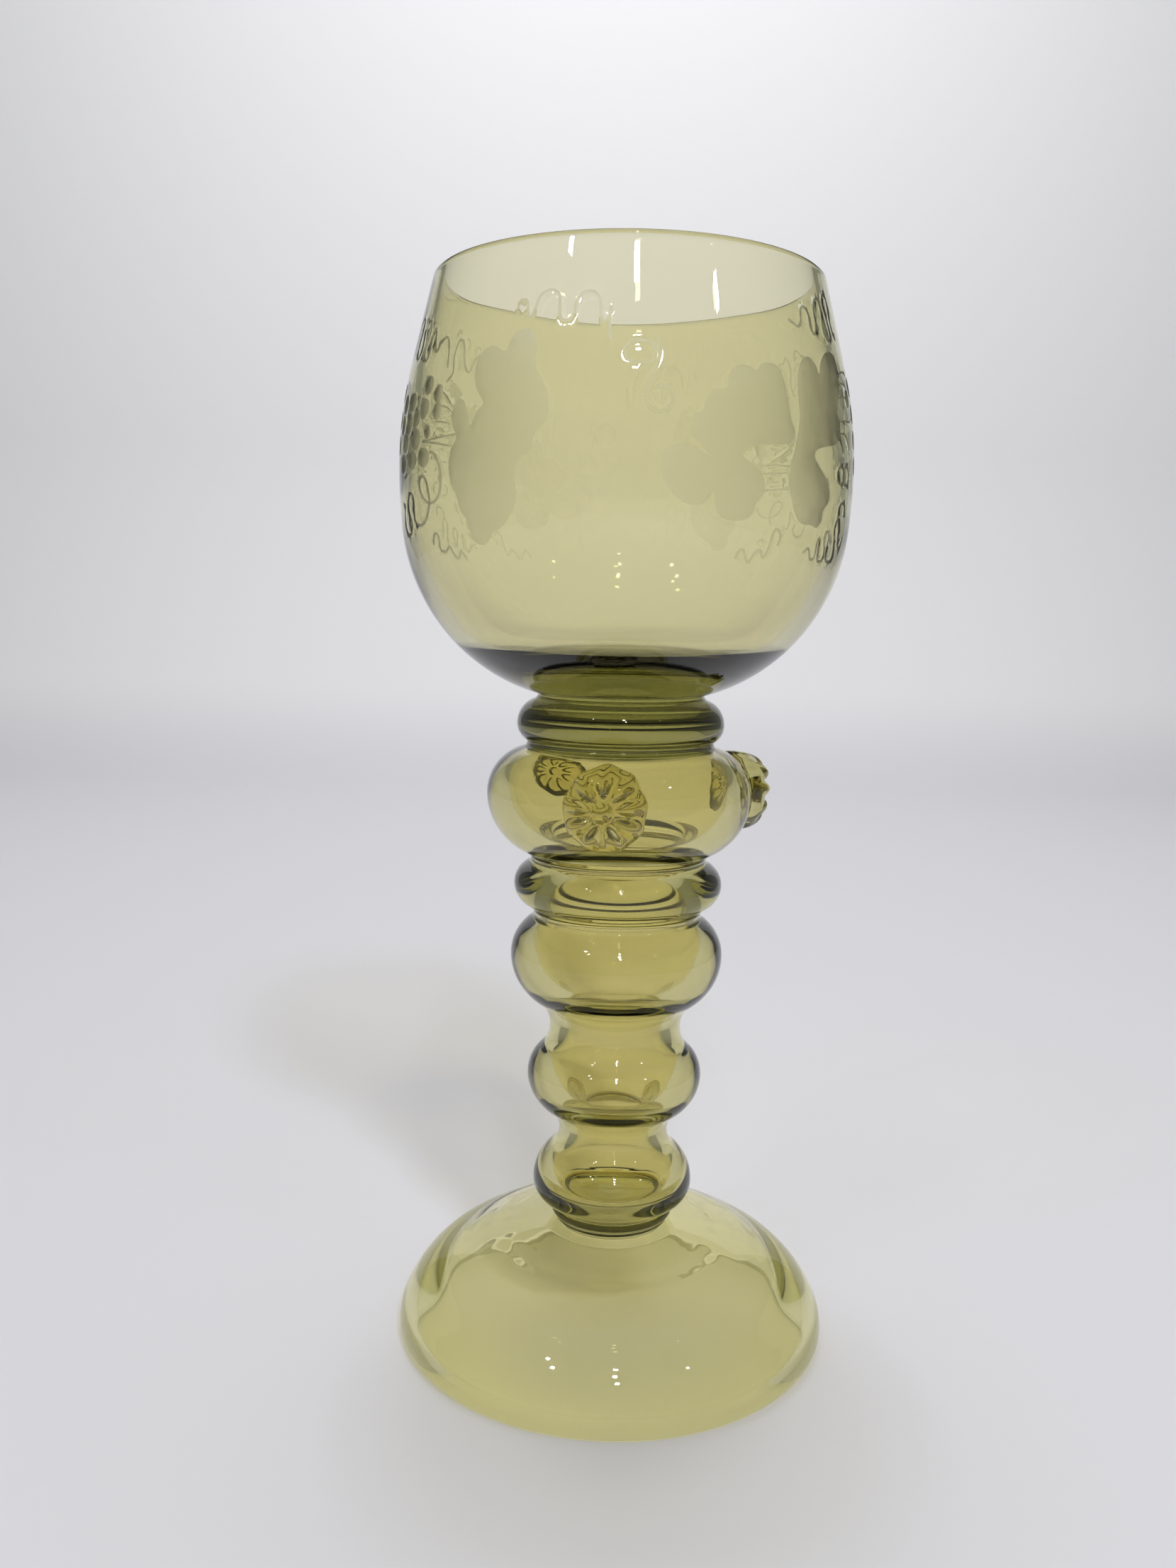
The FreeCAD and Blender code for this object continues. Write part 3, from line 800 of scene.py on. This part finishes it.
def bulge_outline():
    """The skin of the wide bulge."""
    low, high, radius = place("prunted_knop")
    return bead((BULGE_BASE_RADIUS, low), (radius, low + BULGE_RISE),
                (UPPER_RING_BASE_RADIUS, high), BULGE_SHARES)


def make_bulge():
    """The wide bulge, open below and closed above."""
    low, high, radius = place("prunted_knop")
    widest = (radius - BULGE_WALL, low + BULGE_RISE + BULGE_AIR_LIFT)
    air = Outline(BORE_RADIUS, low)
    air.line_to(BORE_RADIUS, low + BULGE_FLOOR)
    air.swell_to(*widest, swell_radius(air.points[-1], widest) * BULGE_SHARES[0])
    corner = high - BULGE_ROOF - widest[1]
    air.arc_to(widest[0] - corner, widest[1] + corner)
    air.line_to(0, high - BULGE_ROOF)
    outline = [air.points[0]] + bulge_outline().points + [(0, high)]
    return turned("prunted_bulge", outline, air.points)


def make_upper_ring():
    """The solid bead under the bowl."""
    low, high, radius = place("upper_ring")
    skin = bead((UPPER_RING_BASE_RADIUS, low - WELD_OVERLAP), (radius, low + UPPER_RING_RISE),
                (BOWL_BASE_RADIUS, high + WELD_OVERLAP), UPPER_RING_SHARES)
    return turned("upper_bead", closed(skin))


def add_node(tree, kind, inputs=None, **settings):
    """A new node with its settings made and its inputs given: a value, or a socket to link."""
    node = tree.nodes.new(kind)
    for name, value in settings.items():
        setattr(node, name, value)
    for name, value in (inputs or {}).items():
        if isinstance(value, bpy.types.NodeSocket):
            tree.links.new(value, node.inputs[name])
        else:
            node.inputs[name].default_value = value
    return node


def in_use(sockets):
    """The one of a node's Value sockets that its data type uses."""
    return next(socket for socket in sockets if socket.name == "Value" and socket.enabled)


class Number:
    """A number inside a node tree, so that a rule reads as a formula."""

    def __init__(self, tree, socket):
        self.tree = tree
        self.socket = socket

    def worked(self, operation, *others):
        given = [value.socket if isinstance(value, Number) else value for value in (self, *others)]
        node = add_node(self.tree, "ShaderNodeMath", dict(enumerate(given)), operation=operation)
        return Number(self.tree, node.outputs[0])

    def __add__(self, other):
        return self.worked("ADD", other)

    def __sub__(self, other):
        return self.worked("SUBTRACT", other)

    def __mul__(self, other):
        return self.worked("MULTIPLY", other)

    def __truediv__(self, other):
        return self.worked("DIVIDE", other)

    def __pow__(self, other):
        return self.worked("POWER", other)

    def sine(self):
        return self.worked("SINE")

    def cosine(self):
        return self.worked("COSINE")

    def most(self, other):
        return self.worked("MAXIMUM", other)

    def rest(self):
        """One less this number, but never below zero."""
        return (self * -1 + 1).most(0)


def seal_tree(material):
    """The rule of a stamped seal: a disc whose rows run from the middle of its back, round
    the edge, to the middle of its face, where petals and bead stand up."""
    tree = bpy.data.node_groups.new("stamped_seal", "GeometryNodeTree")
    tree.interface.new_socket("Geometry", in_out="OUTPUT", socket_type="NodeSocketGeometry")
    for name in SEAL_SIZES:
        tree.interface.new_socket(name, in_out="INPUT", socket_type="NodeSocketFloat")
    given = add_node(tree, "NodeGroupInput")
    size = {name: Number(tree, given.outputs[name]) for name in SEAL_SIZES}
    sheet = add_node(tree, "GeometryNodeMeshGrid", {
        "Vertices X": SEAL_PETALS * SEAL_PETAL_STEPS + 1,
        "Vertices Y": SEAL_ROWS + 1,
    })
    start = add_node(tree, "GeometryNodeInputPosition")
    parts = add_node(tree, "ShaderNodeSeparateXYZ", {"Vector": start.outputs["Position"]})
    turn = Number(tree, parts.outputs["X"]) * FULL_TURN
    along = Number(tree, parts.outputs["Y"]) + 0.5
    back = (along / SEAL_BACK_SHARE).rest()
    face = ((along - SEAL_BACK_SHARE) / (1 - SEAL_BACK_SHARE)).most(0)
    share = (face ** 2 + back).rest()
    edge = size["Radius"] * ((turn * SEAL_PETALS).cosine() * size["Scallop share"] + 1)
    off = edge * share
    across = off * turn.sine()
    up = off * turn.cosine()
    squareness = size["Edge squareness"]
    on_face = face.worked("GREATER_THAN", 0.0)
    rise = (share ** squareness).rest() ** (squareness ** -1) * on_face

    pitch = FULL_TURN / SEAL_PETALS
    number = (turn / pitch + 0.5).worked("FLOOR")
    chance = add_node(tree, "FunctionNodeRandomValue", {
        "Seed": SEAL_SEED,
        "ID": (number + SEAL_PETALS).worked("MODULO", SEAL_PETALS).socket,
    }, data_type="FLOAT")
    luck = Number(tree, in_use(chance.outputs))
    beside = turn - number * pitch
    down_petal = (off * beside.cosine() - size["Petal middle"]) / size["Petal half length"]
    widening = down_petal * size["Petal widening"] + size["Petal middle width share"]
    over_petal = off * beside.sine() / (size["Petal half width"] * widening)
    petal = (down_petal ** 2 + over_petal ** 2).rest() ** size["Petal roundness"]
    growth = luck * size["Petal height chance"] + size["Petal least height share"]
    petal = petal * size["Petal height"] * growth
    from_bead = ((across + size["Bead shift"]) ** 2 + up ** 2) / size["Bead radius"] ** 2
    bead_top = from_bead.rest() ** size["Petal roundness"] * size["Bead height"]

    spot = add_node(tree, "ShaderNodeCombineXYZ", {
        "X": (across * size["Width share"]).socket,
        "Y": (up * size["Height share"]).socket,
        "Z": (petal.most(bead_top) * on_face).socket,
    })
    keep = add_node(tree, "GeometryNodeStoreNamedAttribute", {
        "Name": "rise",
        "Geometry": sheet.outputs["Mesh"],
    }, data_type="FLOAT", domain="POINT")
    tree.links.new(rise.socket, in_use(keep.inputs))
    stamp = add_node(tree, "GeometryNodeSetPosition", {
        "Geometry": keep.outputs["Geometry"],
        "Position": spot.outputs["Vector"],
    })
    real = add_node(tree, "GeometryNodeRealizeInstances", {"Geometry": stamp.outputs["Geometry"]})
    coat = add_node(tree, "GeometryNodeSetMaterial", {
        "Geometry": real.outputs["Geometry"],
        "Material": material,
    })
    add_node(tree, "NodeGroupOutput", {"Geometry": coat.outputs["Geometry"]})
    return tree


def make_seal(node, azimuth, tree):
    """One seal, pressed on the bulge's skin so that its back follows it."""
    holder = bpy.data.objects.new("seal_rule", bpy.data.meshes.new("seal_rule"))
    bpy.context.scene.collection.objects.link(holder)
    rule = holder.modifiers.new("rule", "NODES")
    rule.node_group = tree
    for entry in tree.interface.items_tree:
        if entry.in_out == "INPUT":
            rule[entry.identifier] = SEAL_SIZES[entry.name]
    made = holder.evaluated_get(bpy.context.evaluated_depsgraph_get())
    flat = bpy.data.meshes.new_from_object(made)
    bpy.data.objects.remove(holder)
    low, _, widest = place("prunted_knop")
    profile = bulge_outline().points
    facing = math.radians(azimuth)
    out = Vector((math.sin(facing), -math.cos(facing), 0))
    side = Vector((math.cos(facing), math.sin(facing), 0))
    points = []
    for vertex, rise in zip(flat.vertices, flat.attributes["rise"].data):
        across, up, relief = vertex.co
        height = low + BULGE_RISE + up
        below, above = next(pair for pair in zip(profile, profile[1:]) if pair[1][1] >= height)
        radius = below[0] + (above[0] - below[0]) * (height - below[1]) / (above[1] - below[1])
        back = math.sqrt(radius ** 2 - across ** 2) - SEAL_ROOT
        front = widest + SEAL_FACE + SEAL_LEAN * up + relief
        place_out = back + (front - back) * rise.value
        points.append((out * place_out + side * across + Vector((0, 0, height))) * MM)
    faces = [list(face.vertices) for face in flat.polygons]
    bpy.data.meshes.remove(flat)
    return new_piece(node.replace("prunt", "seal"), points, faces, turn_out=True)


def make_bowl():
    """The barrel bowl: up the outside, over the lip and down the inside."""
    base, top, radius = place("bowl")
    belly_height = base + BOWL_BELLY_RISE
    belly = (radius - BELLY_ARC_RADIUS * (1 - math.cos(BELLY_TURN)),
             belly_height - BELLY_ARC_RADIUS * math.sin(BELLY_TURN))
    shoulder = (radius - SHOULDER_ARC_RADIUS * (1 - math.cos(LIP_LEAN)),
                belly_height + SHOULDER_ARC_RADIUS * math.sin(LIP_LEAN))
    lean = (-math.cos(LIP_LEAN), -math.sin(LIP_LEAN))
    lip_z = top - BOWL_WALL / 2 * (1 + lean[1])
    lip = (shoulder[0] - (lip_z - shoulder[1]) * math.tan(LIP_LEAN), lip_z)
    drop = math.atan2(belly[1] - base, belly[0] - BOWL_BASE_RADIUS)
    wall = Outline(BOWL_BASE_RADIUS, base, 2 * drop - (UPRIGHT - BELLY_TURN))
    wall.arc_to(*belly)
    wall.arc_to(radius, belly_height)
    wall.arc_to(*shoulder)
    wall.line_to(*lip)
    wall.arc_to(lip[0] + lean[0] * BOWL_WALL, lip[1] + lean[1] * BOWL_WALL)

    chord = math.hypot(belly[0] - BOWL_BASE_RADIUS, belly[1] - base)
    low_radius = chord / (2 * math.sin(UPRIGHT - BELLY_TURN - drop))

    def in_from_belly(distance):
        """A place straight in from the low end of the belly's arc."""
        return belly[0] - distance * math.cos(BELLY_TURN), belly[1] + distance * math.sin(BELLY_TURN)

    centre = in_from_belly(low_radius)
    inner_round = low_radius - BOWL_LOW_WALL
    floor = base + BOWL_BOTTOM
    corner_z = floor + BOWL_CORNER_RADIUS
    reach = inner_round - BOWL_CORNER_RADIUS
    corner_x = centre[0] + math.sqrt(reach ** 2 - (centre[1] - corner_z) ** 2)
    out = ((corner_x - centre[0]) / reach, (corner_z - centre[1]) / reach)
    inside = Outline(0, floor, 0)
    inside.line_to(corner_x, floor)
    inside.arc_to(centre[0] + out[0] * inner_round, centre[1] + out[1] * inner_round)
    inside.heading = math.atan2(out[0], -out[1])
    inside.arc_to(*in_from_belly(BOWL_WALL))
    inside.arc_to(radius - BOWL_WALL, belly_height)
    inside.arc_to(shoulder[0] + lean[0] * BOWL_WALL, shoulder[1] + lean[1] * BOWL_WALL)
    inside.line_to(*wall.points[-1])

    def radius_at(height):
        """The wall's distance from the axis, on its own arcs."""
        if height < belly[1]:
            return centre[0] + math.sqrt(low_radius ** 2 - (height - centre[1]) ** 2)
        if height < shoulder[1]:
            arc = BELLY_ARC_RADIUS if height < belly_height else SHOULDER_ARC_RADIUS
            return radius - arc + math.sqrt(arc ** 2 - (height - belly_height) ** 2)
        return shoulder[0] - (height - shoulder[1]) * math.tan(LIP_LEAN)

    outline = [(0, base)] + wall.points
    low_row = next(row for row, point in enumerate(outline) if point[1] > BAND_LOW)
    below_lip = outline[:-LIP_POINTS]
    high_row = max(row for row, point in enumerate(below_lip) if point[1] < BAND_HIGH)
    return turned("barrel_bowl", outline, inside.points, (low_row, high_row, radius_at))


def glass(name, tint, absorbed, shade, engraved):
    """Coloured glass that gets darker with its thickness, with no tint of its own on the level
    faces inside a weld. Shade is the colour of its shadow. Where the wheel cut, it is matt."""
    material = bpy.data.materials.new(name)
    material.use_nodes = True
    tree = material.node_tree
    shader = tree.nodes["Principled BSDF"]
    where = add_node(tree, "ShaderNodeTexCoord")
    parts = add_node(tree, "ShaderNodeSeparateXYZ", {"Vector": where.outputs["Normal"]})
    level = Number(tree, parts.outputs["Z"]).worked("ABSOLUTE")
    colour = add_node(tree, "ShaderNodeMixRGB", {
        "Fac": level.worked("GREATER_THAN", WELD_LEVEL).socket,
        "Color1": (*tint, 1),
        "Color2": (1, 1, 1, 1),
    })
    tree.links.new(colour.outputs["Color"], shader.inputs["Base Color"])
    smear = add_node(tree, "ShaderNodeTexNoise", {
        "Vector": where.outputs["Object"],
        "Scale": SMEAR_SCALE,
        "Detail": SMEAR_DETAIL,
    })
    finish = add_node(tree, "ShaderNodeMapRange", {
        "Value": smear.outputs["Fac"],
        "From Min": SMEAR_SPAN[0],
        "From Max": SMEAR_SPAN[1],
        "To Min": 0,
        "To Max": SMEAR_ROUGHNESS,
    })
    roughness = Number(tree, finish.outputs["Result"])
    if engraved:
        cut = add_node(tree, "ShaderNodeAttribute", attribute_name="frosted")
        grain = add_node(tree, "ShaderNodeTexNoise", {
            "Vector": where.outputs["Object"],
            "Scale": GRAIN_SCALE,
        })
        matt = Number(tree, grain.outputs["Fac"]) * FROST_GRAIN + FROST_ROUGHNESS
        roughness = roughness.most(matt * Number(tree, cut.outputs["Fac"]))
    tree.links.new(roughness.socket, shader.inputs["Roughness"])
    shader.inputs["Transmission Weight"].default_value = 1
    shader.inputs["IOR"].default_value = GLASS_IOR
    body = add_node(tree, "ShaderNodeVolumeAbsorption", {
        "Color": (*absorbed, 1),
        "Density": ABSORPTION_DENSITY,
    })
    clear = add_node(tree, "ShaderNodeBsdfTransparent", {"Color": (*shade, 1)})
    path = add_node(tree, "ShaderNodeLightPath")
    mix = add_node(tree, "ShaderNodeMixShader", {
        "Fac": path.outputs["Is Shadow Ray"],
        1: shader.outputs["BSDF"],
        2: clear.outputs["BSDF"],
    })
    output = tree.nodes["Material Output"]
    tree.links.new(mix.outputs["Shader"], output.inputs["Surface"])
    tree.links.new(body.outputs["Volume"], output.inputs["Volume"])
    return material


def pale_paper():
    """Matt paper, a little lighter up the backdrop than on the table."""
    paper = bpy.data.materials.new("pale_paper")
    paper.use_nodes = True
    tree = paper.node_tree
    where = add_node(tree, "ShaderNodeTexCoord")
    parts = add_node(tree, "ShaderNodeSeparateXYZ", {"Vector": where.outputs["Object"]})
    tone = add_node(tree, "ShaderNodeValToRGB", {"Fac": parts.outputs["Z"]})
    ramp = tone.color_ramp
    ramp.interpolation = "EASE"
    ramp.elements[0].color = (*TABLE_COLOUR, 1)
    ramp.elements[1].position = BACKDROP_HEIGHT
    ramp.elements[1].color = (*BACKDROP_COLOUR, 1)
    shader = tree.nodes["Principled BSDF"]
    tree.links.new(tone.outputs["Color"], shader.inputs["Base Color"])
    shader.inputs["Roughness"].default_value = PAPER_ROUGHNESS
    shader.inputs["Specular IOR Level"].default_value = PAPER_SPECULAR
    return paper


def make_stage():
    """A pale table that sweeps up into the backdrop."""
    points = [(STAGE_FRONT, 0), (STAGE_BACK, 0)]
    for step in range(1, STAGE_BEND_STEPS + 1):
        angle = UPRIGHT * step / STAGE_BEND_STEPS
        points.append((STAGE_BACK + STAGE_BEND * math.sin(angle),
                       STAGE_BEND - STAGE_BEND * math.cos(angle)))
    points.append((STAGE_BACK + STAGE_BEND, STAGE_TOP))
    vertices = []
    faces = []
    for y, z in points:
        vertices += [(-STAGE_REACH, y, z), (STAGE_REACH, y, z)]
    for step in range(len(points) - 1):
        faces.append((2 * step, 2 * step + 1, 2 * step + 3, 2 * step + 2))
    mesh = bpy.data.meshes.new("sweep")
    mesh.from_pydata(vertices, [], faces)
    mesh.shade_smooth()
    mesh.materials.append(pale_paper())
    sweep = bpy.data.objects.new("sweep", mesh)
    bpy.context.scene.collection.objects.link(sweep)


def make_camera():
    """The photograph's near view, tilted a little down, from as high as the bowl's low wall."""
    camera = bpy.data.cameras.new("camera")
    camera.sensor_width = CAMERA_SENSOR
    camera.lens = CAMERA_LENS
    camera.clip_start = CAMERA_NEAREST
    holder = bpy.data.objects.new("camera", camera)
    bpy.context.scene.collection.objects.link(holder)
    ahead = Vector((0, math.cos(CAMERA_PITCH), -math.sin(CAMERA_PITCH)))
    right = Vector((1, 0, 0))
    up = right.cross(ahead)
    facing = Matrix((right, up, -ahead)).transposed() @ Matrix.Rotation(CAMERA_ROLL, 3, "Z")
    holder.matrix_world = Matrix.Translation(CAMERA_PLACE) @ facing.to_4x4()
    bpy.context.scene.camera = holder


def lamp(name, seen, azimuth, elevation, distance, size, energy, aim=GLASS_MIDDLE):
    """A square lamp, placed by its direction from the glass. Seen says whether the glass
    mirrors it."""
    light = bpy.data.lights.new(name, "AREA")
    light.energy = energy
    light.size = size
    holder = bpy.data.objects.new(name, light)
    bpy.context.scene.collection.objects.link(holder)
    around = math.radians(azimuth)
    above = math.radians(elevation)
    level = math.cos(above)
    away = Vector((math.sin(around) * level, -math.cos(around) * level, math.sin(above)))
    holder.location = Vector(GLASS_MIDDLE) + away * distance
    holder.rotation_euler = (Vector(aim) - holder.location).to_track_quat("-Z", "Y").to_euler()
    holder.visible_glossy = seen
    holder.visible_transmission = seen


def light_room():
    """A pale room that gets darker towards its ceiling, with soft lamps and small bright ones."""
    world = bpy.data.worlds.new("room")
    bpy.context.scene.world = world
    world.use_nodes = True
    tree = world.node_tree
    where = add_node(tree, "ShaderNodeTexCoord")
    parts = add_node(tree, "ShaderNodeSeparateXYZ", {"Vector": where.outputs["Generated"]})
    height = add_node(tree, "ShaderNodeMapRange", {
        "Value": parts.outputs["Z"],
        "From Min": WALL_TOP,
        "From Max": CEILING_EDGE,
        "To Min": WALL_LIGHT,
        "To Max": CEILING_LIGHT,
    }, interpolation_type="SMOOTHSTEP")
    background = tree.nodes["Background"]
    background.inputs["Color"].default_value = (*ROOM_COLOUR, 1)
    tree.links.new(height.outputs["Result"], background.inputs["Strength"])
    for lamps, seen in ((SOFT_LAMPS, False), (SMALL_LAMPS, True)):
        for name, facts in lamps.items():
            lamp(name, seen, *facts)


def main():
    bpy.context.scene.view_settings.view_transform = "Standard"
    glasses = {name: glass(name, *facts) for name, facts in GLASSES.items()}
    stem_glass = glasses["stem_glass"]
    pieces = [
        (make_foot(), "foot", glasses["foot_glass"]),
        (make_collar(), "stem_collar", stem_glass),
        (make_stem(), "stem", stem_glass),
        (make_lower_ring(), "lower_ring", stem_glass),
        (make_bulge(), "prunted_knop", stem_glass),
        (make_upper_ring(), "upper_ring", stem_glass),
        (make_bowl(), "bowl", glasses["bowl_glass"]),
    ]
    rule = seal_tree(stem_glass)
    for node, azimuth in SEAL_AZIMUTHS.items():
        pieces.append((make_seal(node, azimuth, rule), node, stem_glass))
    for piece, node, material in pieces:
        piece.data.materials.append(material)
        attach(piece, "root")
        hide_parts(node)
    make_stage()
    light_room()
    make_camera()


main()
